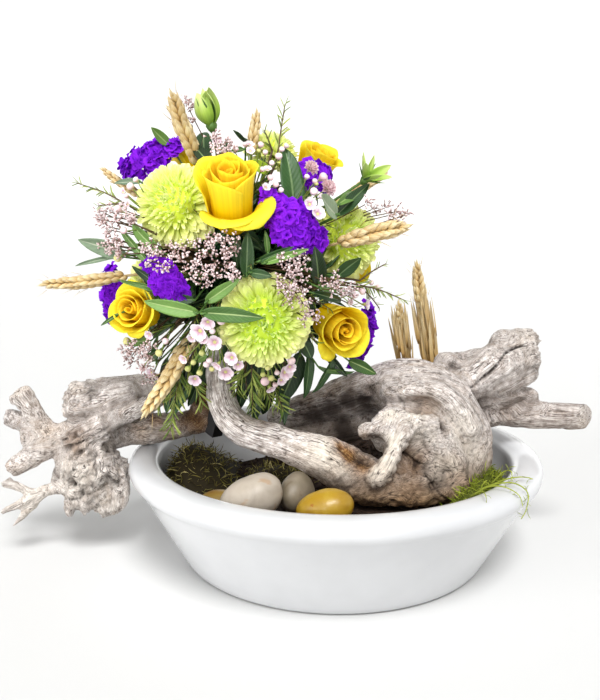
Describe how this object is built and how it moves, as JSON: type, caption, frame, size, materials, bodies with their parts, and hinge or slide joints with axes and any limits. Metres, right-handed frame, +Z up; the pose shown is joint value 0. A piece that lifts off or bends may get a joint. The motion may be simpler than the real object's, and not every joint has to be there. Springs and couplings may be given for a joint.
{
  "type": "flower arrangement in pot",
  "caption": "Shallow round white bowl with soil, pebbles and moss; gnarled driftwood lies across it and carries a ball-shaped bouquet of roses, chrysanthemums, statice and wheat.",
  "frame": {"origin": "centre of the bowl's flat underside", "axes": "+Z up, -Y towards the front, +X to the right, the side where the single sawn branch ends"},
  "size_m": [0.5486, 0.37, 0.4],
  "materials": {
    "white_glaze": "gloss",
    "soil": "matte",
    "moss_green": "matte",
    "driftwood": "matte",
    "black_plastic": "satin",
    "foam": "matte",
    "pebble_white": "satin",
    "pebble_grey": "satin",
    "pebble_amber": "satin",
    "pebble_orange": "satin",
    "rose_petals": "satin",
    "mum_petals": "matte",
    "statice_petals": "matte",
    "wheat_straw": "matte",
    "green_bud": "satin",
    "leaf_green": "satin",
    "waxflower_pink": "matte",
    "sea_lavender": "matte"
  },
  "bodies": {
    "root": {"bouquet_holder": "black_plastic", "bowl": "white_glaze", "bud_right": "green_bud", "bud_top": "green_bud", "driftwood_left": "driftwood", "driftwood_root": "driftwood", "foam_ball": "foam", "leaves_front": "leaf_green", "leaves_left": "leaf_green", "leaves_low_back": "leaf_green", "leaves_low_right": "leaf_green", "leaves_right": "leaf_green", "leaves_tall": "leaf_green", "moss_centre": "moss_green", "moss_left": "moss_green", "moss_right": "moss_green", "mum_back": "mum_petals", "mum_back_left": "mum_petals", "mum_front": "mum_petals", "mum_left": "mum_petals", "mum_right": "mum_petals", "mum_top": "mum_petals", "pebble_amber": "pebble_amber", "pebble_grey": "pebble_grey", "pebble_orange": "pebble_orange", "pebble_white": "pebble_white", "rose_back_left": "rose_petals", "rose_back_right": "rose_petals", "rose_front": "rose_petals", "rose_left": "rose_petals", "rose_right": "rose_petals", "rose_top": "rose_petals", "sea_lavender_back": "sea_lavender", "sea_lavender_centre": "sea_lavender", "sea_lavender_left": "sea_lavender", "sea_lavender_low_left": "sea_lavender", "sea_lavender_right": "sea_lavender", "soil": "soil", "statice_back": "statice_petals", "statice_front": "statice_petals", "statice_left": "statice_petals", "statice_low_left": "statice_petals", "statice_right": "statice_petals", "statice_top_left": "statice_petals", "statice_top_right": "statice_petals", "waxflower_left": "waxflower_pink", "waxflower_low": "waxflower_pink", "waxflower_low_left": "waxflower_pink", "waxflower_low_right": "waxflower_pink", "waxflower_top": "waxflower_pink", "waxflower_top_right": "waxflower_pink", "wheat_far_right": "wheat_straw", "wheat_left": "wheat_straw", "wheat_low": "wheat_straw", "wheat_right": "wheat_straw", "wheat_small_left": "wheat_straw", "wheat_small_top": "wheat_straw", "wheat_standing_short": "wheat_straw", "wheat_standing_tall": "wheat_straw", "wheat_top": "wheat_straw"}
  },
  "joints": []
}
